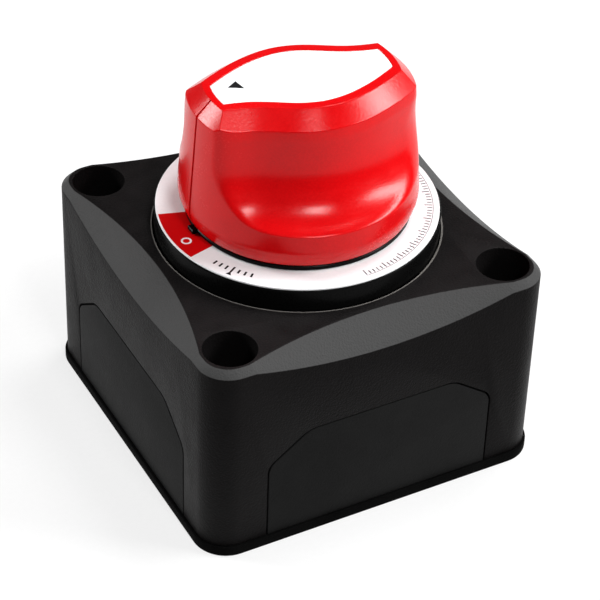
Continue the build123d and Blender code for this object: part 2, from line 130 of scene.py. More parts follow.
class WindowSizes(bpy.types.PropertyGroup):
    half_width: size_of("Half width", "Half the width of a cable window's rebate", 23.2, 10.0)
    top: size_of("Top", "Height of the top of a cable window's rebate", 24.5, 10.0)
    chamfer_run: size_of("Chamfer run", "Width of the cut-off upper corners", 8.1, 1.0)
    chamfer_drop: size_of("Chamfer drop", "Height of the cut-off upper corners", 5.9, 1.0)
    corner_radius: size_of("Corner radius", "Rounding of the upper corners", 3.0, 0.5)
    step: size_of("Step", "Width of the rebate that the plate seats on", 3.2, 0.5)
    skin: size_of("Skin", "Thickness of the plate's outer skin", 1.4, 0.5)
    gap: size_of("Gap", "Gap round a side plate", 0.25, 0.05)
    soft_edge: size_of("Soft edge", "Rounding of a side plate's edges", 0.14, 0.02)


class DialSizes(bpy.types.PropertyGroup):
    opening_gap: size_of("Opening gap", "Gap between the collar and the case", 0.2, 0.05)
    opening_rim: size_of("Opening rim", "Chamfer round the opening in the case", 0.3, 0.05)
    # Width of the painted glint, a pale ring painted round the top edge of the opening in the case.
    glint_rim_width: size_of("Rubbed rim", "Width of the pale rubbed edge round that opening", 0.42, 0.05)
    sector_start: angle_of("Sector start", "Where the red off sector begins", 163.0)
    sector_end: angle_of("Sector end", "Where the red off sector ends", 194.8)
    off_angle: angle_of("Off mark", "Where the ring for off stands", 184.8)
    remove_angle: angle_of("Remove position", "Where the knob is turned to be lifted off", 213.4)
    on_angle: angle_of("On position", "Where the knob points when the switch is on", 90.0)
    print_height: size_of("Print height", "Thickness of the printed marks", 0.02, 0.005)


class KnobSizes(bpy.types.PropertyGroup):
    belly: size_of("Belly", "Largest radius of the knob", 22.1, 15.0)
    shoulder: size_of("Shoulder", "Radius of the knob at the foot of its top chamfer", 20.7, 15.0)
    chamfer_height: size_of("Chamfer height", "Height of the top chamfer", 2.8, 0.5)
    chamfer_run: size_of("Chamfer run", "Width of the top chamfer along the grip", 3.2, 0.5)
    end_run: size_of("End run", "Width of the top chamfer at the grip's ends", 2.75, 0.5)
    scoop_floor: size_of("Scoop floor", "Height of the scoops' floor over the knob's foot", 6.7, 2.0)
    scoop_radius: size_of("Scoop radius", "Radius of the bowl of a scoop", 11.5, 3.0)
    scoop_draft: angle_of("Scoop draft", "Lean of the grip's walls", 12.0)
    groove: size_of("Groove", "Depth of the index groove at the pointer's end", 0.3, 0.05)
    rim: size_of("Rim", "Width of the red rim round the white insert", 1.9, 0.3)
    wall: size_of("Wall", "Wall of the hollow knob", 2.0, 0.8)
    post: size_of("Post", "Radius of the drive post", 5.5, 2.0)
    key: size_of("Key", "Reach of the two keys on the post", 7.2, 2.0)
    key_width: size_of("Key width", "Width of the two keys", 3.0, 1.0)
    columns: IntProperty(
        name="Columns", description="Number of even steps round the knob", default=400, min=90, max=400)


class SwitchColours(bpy.types.PropertyGroup):
    case: colour_of("Case", "Black of the case", (0.0074, 0.0066, 0.0067))
    # Slope colour: a paler grey painted on the case's sloping faces as a painted sheen, standing in for
    # reflected light.
    slope_painted_sheen: colour_of("Case slopes", "Grey of the case's sloping faces", (0.056, 0.056, 0.056))
    # Rim colour: a pale grey painted round the dial's opening as a painted glint, standing in for a
    # highlight.
    rim_painted_glint: colour_of("Rubbed rim", "Grey of the rubbed edge round the dial", (0.16, 0.15, 0.14))
    plate: colour_of("Side plate", "Grey black of the side plates", (0.0082, 0.0082, 0.0082))
    collar: colour_of("Collar", "Black of the dial collar and rotor", (0.0022, 0.0022, 0.0022))
    knob: colour_of("Knob", "Red of the knob and of the off sector", (0.575, 0.0006, 0.002))
    label: colour_of("Label", "White of the dial label and the knob insert", (0.86, 0.87, 0.88))


# ---------------------------------------------------------------- shader maths

class Wire:
    """A shader socket; arithmetic on it adds Math nodes."""

    def __init__(self, finish, socket):
        self.finish = finish
        self.socket = socket

    def maths(self, operation, *values):
        return self.finish.node("ShaderNodeMath", {"operation": operation}, dict(enumerate(values))).wire(0)

    def __add__(self, other):
        return self.maths("ADD", self, other)

    def __radd__(self, other):
        return self.maths("ADD", other, self)

    def __sub__(self, other):
        return self.maths("SUBTRACT", self, other)

    def __rsub__(self, other):
        return self.maths("SUBTRACT", other, self)

    def __mul__(self, other):
        return self.maths("MULTIPLY", self, other)

    def __rmul__(self, other):
        return self.maths("MULTIPLY", other, self)


class Made:
    """A node that was just added, with its outputs as wires."""

    def __init__(self, finish, node):
        self.finish = finish
        self.node = node

    def wire(self, output):
        return Wire(self.finish, self.node.outputs[output])


class Finish:
    """One material, with the method that adds its nodes."""

    def __init__(self, name):
        self.material = bpy.data.materials.new(name)
        self.material.use_nodes = True
        self.tree = self.material.node_tree
        self.tree.nodes.clear()

    def node(self, kind, settings=None, values=None):
        made = self.tree.nodes.new(kind)
        for key, value in (settings or {}).items():
            setattr(made, key, value)
        for key, value in (values or {}).items():
            if isinstance(value, Wire):
                self.tree.links.new(value.socket, made.inputs[key])
            else:
                made.inputs[key].default_value = value
        return Made(self, made)

    def position(self):
        return self.node("ShaderNodeTexCoord").wire("Object")

    def part(self, vector, axis):
        return self.node("ShaderNodeSeparateXYZ", None, {"Vector": vector}).wire(axis)

    def vector(self, operation, *values):
        return self.node("ShaderNodeVectorMath", {"operation": operation}, dict(enumerate(values)))

    def noise(self, scale, detail=2.0, roughness=0.5, stretch=None):
        place = self.position()
        if stretch:
            place = self.node("ShaderNodeMapping", None, {"Vector": place, "Scale": stretch}).wire(0)
        values = {"Vector": place, "Scale": scale, "Detail": detail, "Roughness": roughness}
        return self.node("ShaderNodeTexNoise", None, values).wire(0)

    def cells(self, scale):
        values = {"Vector": self.position(), "Scale": scale}
        return self.node("ShaderNodeTexVoronoi", {"feature": "F1"}, values).wire("Distance")

    def step(self, value, low, high):
        settings = {"clamp": True, "interpolation_type": "SMOOTHSTEP"}
        values = {"Value": value, "From Min": low, "From Max": high}
        return self.node("ShaderNodeMapRange", settings, values).wire(0)

    def mix(self, factor, dark, light):
        mixed = self.node("ShaderNodeMix", {"data_type": "RGBA", "blend_type": "MIX"}, {"Factor": factor})
        for index, colour in ((6, dark), (7, light)):
            if isinstance(colour, Wire):
                self.tree.links.new(colour.socket, mixed.node.inputs[index])
            else:
                mixed.node.inputs[index].default_value = (*colour, 1.0)
        return mixed.wire(2)

    def bump(self, height, depth):
        return self.node("ShaderNodeBump", None, {"Height": height, "Distance": depth}).wire(0)

    def surface(self, **values):
        named = {key.replace("_", " "): value for key, value in values.items()}
        shader = self.node("ShaderNodeBsdfPrincipled", None, named)
        output = self.node("ShaderNodeOutputMaterial")
        self.tree.links.new(shader.node.outputs[0], output.node.inputs["Surface"])
        return self.material


def shade(colour, amount):
    """A colour made lighter or darker."""
    return tuple(min(1.0, part * amount) for part in colour)


def moulded(name, colour, roughness, grain, depth, spread=0.2, gloss=0.5):
    """Moulded plastic: spark-eroded grain, faint flow marks and uneven sheen."""
    finish = Finish(name)
    return finish.surface(**grained(finish, colour, roughness, grain, depth, spread, gloss))


def grained(finish, colour, roughness, grain, depth, spread, gloss):
    """The shader inputs of moulded plastic, for a finish to use or change."""
    fine = finish.noise(grain, 3.0, 0.6)
    pits = finish.cells(grain * 0.7)
    flow = finish.noise(55.0, 3.0, 0.55, (1.0, 1.0, 0.35))
    patches = finish.noise(240.0, 2.0)
    tint = finish.step(flow * 0.6 + patches * 0.4, 0.32, 0.68)
    speckle = finish.step(fine, 0.35, 0.65)
    base = finish.mix(tint, shade(colour, 1.0 - spread), shade(colour, 1.0 + spread))
    return {
        "Base_Color": finish.mix(speckle * 0.45, base, shade(colour, 1.0 + 3.0 * spread)),
        "Roughness": (tint - 0.5) * 0.08 + (speckle - 0.5) * 0.06 + roughness,
        "IOR": 1.5,
        "Specular_IOR_Level": gloss,
        "Normal": finish.bump(fine * 0.7 + pits * 0.5, depth),
    }


def case_grain_and_painted_light(colour, slope_sheen, rim_glint, rim):
    """The case's grain, with painted shade on upright faces, a painted sheen on the sloping faces and a
    painted glint round the top edge of the dial's opening.
    """
    finish = Finish("case_black")
    inputs = grained(finish, colour, 0.42, 3400.0, 0.1 * MM, 0.36, 0.036)
    lean = finish.part(finish.node("ShaderNodeTexCoord").wire("Normal"), "Z")
    # Painted shade: upright faces are mixed toward a darker black, standing in for the shade they fall in.
    upright = 1.0 - finish.step(lean, 0.2, 0.4)
    # Painted sheen: the sloping lens chamfers are given a paler grey, standing in for light reflected off
    # them.
    slope = finish.step(lean, 0.35, 0.6) * (1.0 - finish.step(lean, 0.85, 0.95))
    flat_place = finish.vector("MULTIPLY", finish.position(), (1, 1, 0)).wire(0)
    reach = finish.vector("LENGTH", flat_place).wire("Value")
    # Painted glint: a pale ring on the top edge round the dial's opening, standing in for a highlight on that
    # edge.
    near = 1.0 - finish.step(reach, rim - 0.08 * MM, rim)
    crest = finish.step(finish.part(finish.position(), "Z"), CASE_TOP - 0.3 * MM, CASE_TOP)
    shaded = finish.mix(upright * 0.6, inputs["Base_Color"], shade(colour, 0.2))
    inputs["Base_Color"] = finish.mix(near * crest, finish.mix(slope, shaded, slope_sheen), rim_glint)
    return finish.surface(**inputs)


def metal(name, colour, roughness, brush=None, scale=900.0):
    """Bare or plated metal, with turning or drawing marks and dull patches."""
    finish = Finish(name)
    marks = finish.noise(scale, 4.0, 0.6, brush)
    patches = finish.noise(150.0, 3.0)
    dull = finish.step(patches, 0.4, 0.7)
    base = finish.mix(dull, colour, shade(colour, 0.8))
    return finish.surface(
        Base_Color=finish.mix(marks * 0.3, base, shade(colour, 0.65)),
        Metallic=1.0,
        Roughness=dull * 0.12 + marks * 0.15 + roughness,
        Normal=finish.bump(marks, 0.01 * MM),
    )


def printed(name, colour, roughness):
    """Smooth printed film: faint mottling in the ink and a satin skin."""
    finish = Finish(name)
    mottle = finish.noise(1500.0, 3.0)
    wide = finish.noise(70.0, 2.0)
    tint = finish.step(mottle * 0.4 + wide * 0.6, 0.3, 0.7)
    return finish.surface(
        Base_Color=finish.mix(tint, shade(colour, 0.96), shade(colour, 1.02)),
        Roughness=tint * 0.08 + roughness,
        Specular_IOR_Level=0.1,
        Normal=finish.bump(mottle, 0.004 * MM),
    )


def rubber(name):
    """Matt black rubber with a dusty bloom."""
    finish = Finish(name)
    grain = finish.noise(2500.0, 3.0)
    bloom = finish.step(finish.noise(120.0, 3.0), 0.45, 0.75)
    return finish.surface(
        Base_Color=finish.mix(bloom, (0.012, 0.012, 0.012), (0.03, 0.03, 0.03)),
        Roughness=bloom * 0.15 + 0.65,
        Normal=finish.bump(grain, 0.02 * MM),
    )


def ground():
    """Pale sweep under the switch, lit from within so that shadows stay faint."""
    finish = Finish("pale_floor")
    fibre = finish.noise(900.0, 3.0)
    return finish.surface(
        Base_Color=finish.mix(fibre, (0.27, 0.27, 0.27), (0.3, 0.3, 0.3)),
        Roughness=0.9,
        Specular_IOR_Level=0.1,
        Emission_Color=(1.0, 1.0, 1.0, 1.0),
        Emission_Strength=0.68,
    )


finishes = {}


class SWITCH_OT_finishes(bpy.types.Operator):
    """Every finish, named for the piece or stuff that it covers"""

    bl_idname = "switch.finishes"
    bl_label = "Finishes"

    def execute(self, context):
        colours = context.scene.switch_colours
        dial = context.scene.switch_dial
        red = tuple(colours.knob)
        white = tuple(colours.label)
        collar = tuple(colours.collar)
        # Outer radius of the painted glint round the dial's opening.
        rim = COLLAR_RADIUS + dial.opening_gap + dial.glint_rim_width
        finishes.update({
            "case": case_grain_and_painted_light(
                tuple(colours.case), tuple(colours.slope_painted_sheen), tuple(colours.rim_painted_glint), rim),
            "plate": moulded("side_plate_black", tuple(colours.plate), 0.5, 3600.0, 0.07 * MM, 0.2, 0.03),
            "base": moulded("base_plate_black", shade(collar, 1.2), 0.5, 3400.0, 0.09 * MM, 0.3, 0.004),
            "collar": moulded("collar_black", collar, 0.28, 3000.0, 0.01 * MM, 0.2, 0.04),
            "knob": moulded("knob_red", red, 0.22, 2800.0, 0.015 * MM, 0.06, 0.21),
            "insert": printed("insert_white", white, 0.4),
            "label": printed("label_white", white, 0.35),
            "red_print": printed("red_print", red, 0.4),
            "white_print": printed("white_print", white, 0.4),
            "black_print": printed("black_print", (0.01, 0.01, 0.011), 0.4),
            "grey_print": printed("grey_print", (0.09, 0.1, 0.11), 0.4),
            "rubber": rubber("black_rubber"),
            "insulator": moulded("insulator_black", (0.02, 0.02, 0.022), 0.5, 2600.0, 0.02 * MM, 0.3),
            "zinc": metal("zinc_plated", (0.62, 0.63, 0.66), 0.28, None, 1400.0),
            "spring": metal("spring_wire", (0.55, 0.55, 0.57), 0.22, None, 2200.0),
            "ball": metal("polished_ball", (0.72, 0.72, 0.74), 0.08),
            "nut": metal("plated_nut", (0.63, 0.62, 0.6), 0.26, (1.0, 1.0, 6.0)),
            "tin": metal("tinned_copper", (0.74, 0.72, 0.67), 0.3, (1.0, 1.0, 8.0)),
            "copper": metal("bright_copper", (0.83, 0.42, 0.27), 0.25, (8.0, 1.0, 1.0)),
            "silver": metal("silver_contact", (0.82, 0.81, 0.78), 0.3),
        })
        return {"FINISHED"}


# ---------------------------------------------------------------- mesh helpers

def piece(name, bm, finish, body, replaces=(), angle=35.0):
    """Turn a finished bmesh into a piece that rides on a body and stands for CAD nodes."""
    bmesh.ops.remove_doubles(bm, verts=bm.verts, dist=WELD)
    mesh = bpy.data.meshes.new(name)
    bm.to_mesh(mesh)
    bm.free()
    mesh.shade_smooth()
    mesh.set_sharp_from_angle(angle=radians(angle))
    mesh.materials.append(finishes[finish])
    made = bpy.data.objects.new(name, mesh)
    bpy.context.scene.collection.objects.link(made)
    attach(made, body)
    if replaces:
        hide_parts(*replaces)
    return made


def chain(bm, points):
    """A line of edges in the XZ plane through (radius, height) points."""
    corners = [bm.verts.new((x, 0.0, z)) for x, z in points]
    return corners, [bm.edges.new(pair) for pair in zip(corners, corners[1:])]


def turned(points, steps=256, closed=True):
    """A solid of revolution about the dial axis from a profile."""
    bm = bmesh.new()
    corners, edges = chain(bm, points)
    if closed:
        edges.append(bm.edges.new((corners[-1], corners[0])))
    bmesh.ops.spin(
        bm, geom=corners + edges, cent=(0, 0, 0), axis=(0, 0, 1),
        angle=2 * pi, steps=steps, use_merge=True)
    bmesh.ops.remove_doubles(bm, verts=bm.verts, dist=WELD)
    bmesh.ops.recalc_face_normals(bm, faces=bm.faces)
    return bm


def cylinder(bm, radius, bottom, top, x=0.0, y=0.0, segments=96):
    """A closed round post."""
    place = Matrix.Translation((x, y, (bottom + top) / 2))
    return bmesh.ops.create_cone(
        bm, cap_ends=True, segments=segments, radius1=radius, radius2=radius,
        depth=top - bottom, matrix=place)["verts"]


def rounded_square(bm, half, radius, bottom, top, segments=14):
    """A square slab with rounded upright corners."""
    tall = top - bottom
    place = Matrix.Translation((0, 0, (bottom + top) / 2)) @ Matrix.Diagonal((2 * half, 2 * half, tall, 1))
    corners = bmesh.ops.create_cube(bm, size=1.0, matrix=place)["verts"]
    edges = {edge for corner in corners for edge in corner.link_edges}
    upright = [edge for edge in edges if abs(edge.verts[0].co.z - edge.verts[1].co.z) > tall / 2]
    bmesh.ops.bevel(
        bm, geom=upright, offset=radius, affect="EDGES", segments=segments, profile=0.5, material=-1)


def window_slab(bm, inset, near, far, floor, turn):
    """A cable window's outline as a slab across one wall; near and far are distances from the axis."""
    sizes = bpy.context.scene.switch_window
    half = sizes.half_width - inset
    top = sizes.top - inset
    slope_foot = top - sizes.chamfer_drop
    points = [
        (-half, floor),
        (half, floor),
        (half, slope_foot),
        (half - sizes.chamfer_run, top),
        (sizes.chamfer_run - half, top),
        (-half, slope_foot),
    ]
    corners = [bm.verts.new((x, -near, z)) for x, z in points]
    face = bm.faces.new(corners)
    rounding = sizes.corner_radius * tan((pi / 2 - atan2(sizes.chamfer_drop, sizes.chamfer_run)) / 2)
    bmesh.ops.bevel(
        bm, geom=corners[2:], offset=rounding, affect="VERTICES", segments=6, profile=0.5, material=-1)
    face = next(f for f in bm.faces if all(abs(v.co.y + near) < 1e-7 for v in f.verts) and len(f.verts) > 8)
    grown = bmesh.ops.extrude_face_region(bm, geom=[face])
    moved = [item for item in grown["geom"] if isinstance(item, bmesh.types.BMVert)]
    bmesh.ops.translate(bm, vec=(0, near - far, 0), verts=moved)
    bmesh.ops.rotate(bm, cent=(0, 0, 0), matrix=Matrix.Rotation(radians(turn), 3, "Z"), verts=bm.verts)
    bmesh.ops.recalc_face_normals(bm, faces=bm.faces)


def to_object(bm, name):
    """A plain object for a modifier to work on."""
    bmesh.ops.recalc_face_normals(bm, faces=bm.faces)
    mesh = bpy.data.meshes.new(name)
    bm.to_mesh(mesh)
    bm.free()
    made = bpy.data.objects.new(name, mesh)
    bpy.context.scene.collection.objects.link(made)
    return made


def settled(made):
    """The mesh of an object with its modifiers applied, as a bmesh; the object is removed."""
    bpy.context.view_layer.update()
    view = bpy.context.evaluated_depsgraph_get()
    mesh = bpy.data.meshes.new_from_object(made.evaluated_get(view))
    bm = bmesh.new()
    bm.from_mesh(mesh)
    bpy.data.meshes.remove(mesh)
    bpy.data.objects.remove(made)
    return bm


def cut(bm, cutters):
    """Cut each cutter away from a solid."""
    body = to_object(bm, "body")
    tools = [to_object(tool, "cutter") for tool in cutters]
    for tool in tools:
        change = body.modifiers.new("cut", "BOOLEAN")
        change.operation = "DIFFERENCE"
        change.solver = "EXACT"
        change.object = tool
    result = settled(body)
    for tool in tools:
        bpy.data.objects.remove(tool)
    bmesh.ops.remove_doubles(result, verts=result.verts, dist=CUT_WELD)
    bmesh.ops.dissolve_limit(
        result, angle_limit=radians(0.2), use_dissolve_boundaries=False,
        verts=result.verts, edges=result.edges)
    return result


def softened(bm, width, segments=2, angle=28.0):
    """Round every sharp edge of a solid by a small radius."""
    body = to_object(bm, "body")
    change = body.modifiers.new("soften", "BEVEL")
    change.width = width
    change.segments = segments
    change.limit_method = "ANGLE"
    change.angle_limit = radians(angle)
    change.use_clamp_overlap = False
    change.miter_outer = "MITER_ARC"
    return settled(body)


def lofted(rings):
    """A closed skin through rings round the dial axis; each ring is its angles, radii and height."""
    bm = bmesh.new()
    count = len(rings[0][0])
    loop = bmesh.ops.create_circle(bm, cap_ends=False, segments=count, radius=1.0)["verts"]
    loop.sort(key=lambda vert: atan2(vert.co.y, vert.co.x) % (2 * pi))
    edges = list(bm.edges)
    ends = []
    for number, (angles, radii, height) in enumerate(rings):
        if number:
            grown = bmesh.ops.extrude_edge_only(bm, edges=edges)["geom"]
            fresh = {item for item in grown if isinstance(item, bmesh.types.BMVert)}
            partner = {}
            for vert in fresh:
                for edge in vert.link_edges:
                    other = edge.other_vert(vert)
                    if other not in fresh:
                        partner[other] = vert
            loop = [partner[vert] for vert in loop]
            edges = [
                item for item in grown
                if isinstance(item, bmesh.types.BMEdge) and item.verts[0] in fresh and item.verts[1] in fresh
            ]
        for vert, angle, radius in zip(loop, angles, radii):
            vert.co = (radius * cos(angle), radius * sin(angle), height)
        if number in (0, len(rings) - 1):
            ends.append(loop)
    for loop in ends:
        bm.faces.new(loop)
    bmesh.ops.recalc_face_normals(bm, faces=bm.faces)
    return bm


def arc_mark(bm, inner, outer, start, end, height, steps):
    """A flat printed patch between two radii and two angles."""
    a = bm.verts.new((inner * cos(start), inner * sin(start), height))
    b = bm.verts.new((outer * cos(start), outer * sin(start), height))
    edge = bm.edges.new((a, b))
    bmesh.ops.spin(
        bm, geom=[a, b, edge], cent=(0, 0, 0), axis=(0, 0, 1), angle=end - start,
        steps=steps, use_merge=False)


def print_piece(name, bm, depth, finish, body):
    """Give flat printed patches their thickness, facing up."""
    bmesh.ops.remove_doubles(bm, verts=bm.verts, dist=WELD)
    bmesh.ops.recalc_face_normals(bm, faces=bm.faces)
    if sum(face.normal.z * face.calc_area() for face in bm.faces) < 0:
        bmesh.ops.reverse_faces(bm, faces=bm.faces)
    bmesh.ops.solidify(bm, geom=bm.faces, thickness=depth)
    bmesh.ops.recalc_face_normals(bm, faces=bm.faces)
    return piece(name, bm, finish, body)


# ---------------------------------------------------------------- case

def lens_cutters(sizes):
    """Wide cylinders that hollow the four lens-shaped chamfers."""
    slope = sqrt(sizes.lens_run ** 2 + sizes.lens_drop ** 2)
    out = sizes.lens_drop / slope
    up = sizes.lens_run / slope
    middle = Vector((CASE_HALF - sizes.lens_run / 2, 0, CASE_TOP - sizes.lens_drop / 2))
    centre = middle + Vector((out, 0, up)) * sizes.lens_radius
    lean = Vector((up, 0, -out)).to_track_quat("Z", "Y").to_matrix().to_4x4()
    cutters = []
    for turn in SIDES.values():
        bm = bmesh.new()
        place = Matrix.Rotation(radians(turn), 4, "Z") @ Matrix.Translation(centre) @ lean
        bmesh.ops.create_cone(
            bm, cap_ends=True, segments=720, radius1=sizes.lens_radius, radius2=sizes.lens_radius,
            depth=5 * slope, matrix=place)
        cutters.append(bm)
    return cutters


def hole_cutter(radius, bottom, top, segments=96):
    """Four round cutters at the fixing screws."""
    bm = bmesh.new()
    for x, y in CORNERS:
        cylinder(bm, radius, bottom, top, x, y, segments)
    return bm


def window_cutters(windows, inset, near, far):
    """One slab cutter through each wall."""
    cutters = []
    for turn in SIDES.values():
        bm = bmesh.new()
        window_slab(bm, inset, near, far, -OVERSHOOT, turn)
        cutters.append(bm)
    return cutters


def case_inside(sizes):
    """The hollow of the case, with the four screw columns left standing."""
    ceiling = CASE_TOP - 8.6 * MM
    column = CASE_HALF - SCREW_OFFSET - 0.38 * MM
    bm = bmesh.new()
    rounded_square(bm, CASE_HALF - sizes.wall, sizes.corner_radius - sizes.wall, -1 * MM, ceiling)
    return cut(bm, [hole_cutter(column, -2 * MM, ceiling + 1 * MM, 64)])


class SWITCH_OT_case(bpy.types.Operator):
    """Case with lens chamfers, deep screw recesses and four cable windows"""

    bl_idname = "switch.case"
    bl_label = "Case"

    def execute(self, context):
        sizes = context.scene.switch_case
        windows = context.scene.switch_window
        dial = context.scene.switch_dial
        bm = bmesh.new()
        rounded_square(bm, CASE_HALF, sizes.corner_radius, CASE_FLOOR, CASE_TOP)
        crest = [edge for edge in bm.edges if all(vert.co.z > CASE_TOP - 1e-7 for vert in edge.verts)]
        bmesh.ops.bevel(
            bm, geom=crest, offset=sizes.edge_chamfer, affect="EDGES", segments=1, profile=0.5, material=-1)
        opening = bmesh.new()
        bore = COLLAR_RADIUS + dial.opening_gap
        cylinder(opening, bore, CASE_TOP - 2 * OVERSHOOT, CASE_TOP + OVERSHOOT, segments=256)
        rim = dial.opening_rim
        bmesh.ops.create_cone(
            opening, cap_ends=True, segments=256, radius1=bore - rim, radius2=bore + 3 * rim, depth=4 * rim,
            matrix=Matrix.Translation((0, 0, CASE_TOP)))
        pocket = bmesh.new()
        pocket_floor = CASE_TOP - 8.7 * MM
        pocket_roof = CASE_TOP - 3.0 * MM
        cylinder(pocket, collar_high.x + 0.5 * MM, pocket_floor, pocket_roof, segments=128)
        cutters = lens_cutters(sizes)
        cutters += [case_inside(sizes), pocket, opening]
        cutters.append(hole_cutter(sizes.counterbore, sizes.counterbore_floor, CASE_TOP + OVERSHOOT))
        cutters.append(hole_cutter(SCREW_HOLE, -OVERSHOOT, sizes.counterbore_floor + 1 * MM, 48))
        cutters += window_cutters(windows, 0, CASE_HALF + 2 * MM, CASE_HALF - windows.skin)
        cutters += window_cutters(windows, windows.step, CASE_HALF + 1 * MM, CASE_HALF - sizes.wall - 1 * MM)
        bm = softened(cut(bm, cutters), sizes.soft_edge)
        piece("case_shell", bm, "case", "case", ["housing"], 25.0)
        return {"FINISHED"}


class SWITCH_OT_side_plates(bpy.types.Operator):
    """Four removable cable-entry plates, each a flush skin with a plug behind it"""

    bl_idname = "switch.side_plates"
    bl_label = "Side plates"

    def execute(self, context):
        windows = context.scene.switch_window
        wall = context.scene.switch_case.wall
        for side, turn in SIDES.items():
            plug = bmesh.new()
            window_slab(plug, windows.step + windows.gap, CASE_HALF - windows.skin + 0.2 * MM,
                        CASE_HALF - wall, CASE_FLOOR, turn)
            plug_object = to_object(plug, "plug")
            bm = bmesh.new()
            window_slab(bm, windows.gap, CASE_HALF, CASE_HALF - windows.skin, CASE_FLOOR, turn)
            skin = to_object(bm, "skin")
            join = skin.modifiers.new("join", "BOOLEAN")
            join.operation = "UNION"
            join.solver = "EXACT"
            join.object = plug_object
            bm = settled(skin)
            bpy.data.objects.remove(plug_object)
            bmesh.ops.remove_doubles(bm, verts=bm.verts, dist=CUT_WELD)
            bm = softened(bm, windows.soft_edge, 3)
            piece(
                "cover_" + side, bm, "plate", "plate_" + side,
                ["side_plate_" + side], 25.0)
        return {"FINISHED"}


class SWITCH_OT_base(bpy.types.Operator):
    """Snap-on base plate with its locating rim"""

    bl_idname = "switch.base"
    bl_label = "Base plate"

    def execute(self, context):
        sizes = context.scene.switch_case
        thickness = CASE_FLOOR - plate_low.z
        corner = sizes.corner_radius + plate_high.x - CASE_HALF
        rim_half = CASE_HALF - sizes.wall - 0.2 * MM
        rim_width = 1.5 * MM
        rim_corner = 3.5 * MM
        post_room = 6.6 * MM
        bm = bmesh.new()
        rounded_square(bm, plate_high.x, corner, plate_low.z, CASE_FLOOR)
        bm = softened(cut(bm, [hole_cutter(SCREW_HOLE, -OVERSHOOT, OVERSHOOT, 48)]), 0.25 * MM, 3)
        rim = bmesh.new()
        rounded_square(rim, rim_half, rim_corner, CASE_FLOOR - 0.3 * thickness, plate_high.z)
        inside = bmesh.new()
        above = plate_high.z + OVERSHOOT
        rounded_square(inside, rim_half - rim_width, rim_corner - rim_width, -OVERSHOOT, above)
        posts = hole_cutter(post_room, -OVERSHOOT, above)
        rim = softened(cut(rim, [inside, posts]), 0.15 * MM)
        rim_mesh = bpy.data.meshes.new("rim")
        rim.to_mesh(rim_mesh)
        rim.free()
        bm.from_mesh(rim_mesh)
        bpy.data.meshes.remove(rim_mesh)
        piece("base_cover", bm, "base", "base", ["base_plate"], 25.0)
        return {"FINISHED"}


# ---------------------------------------------------------------- dial

class SWITCH_OT_collar(bpy.types.Operator):
    """Round collar that rises through the case top and carries the label"""

    bl_idname = "switch.collar"
    bl_label = "Dial collar"

    def execute(self, context):
        radius = COLLAR_RADIUS
        top = collar_high.z
        edge = 0.25 * MM
        flange_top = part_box("collar_gasket")[0].z
        flange_foot = flange_top - 2.0 * MM
        bore = 9.6 * MM
        boss = bore + 3.4 * MM
        bearing_foot = top - 8.5 * MM
        roof = top - 3 * MM
        module = radius + 1.0 * MM
        inner = module - 3 * MM
        rounding = [
            (radius - edge + edge * cos(step * pi / 8), top - edge + edge * sin(step * pi / 8))
            for step in range(5)
        ]
        points = [
            (bore, bearing_foot), (boss, bearing_foot), (boss, roof), (inner, roof),
            (inner, collar_low.z), (module, collar_low.z), (module, flange_foot),
            (collar_high.x, flange_foot), (collar_high.x, flange_top),
            (radius, flange_top), *rounding, (bore + edge, top), (bore, top - edge),
        ]
        piece("dial_body", turned(points, 320), "collar", "case", ["dial_collar"], 30.0)
        return {"FINISHED"}


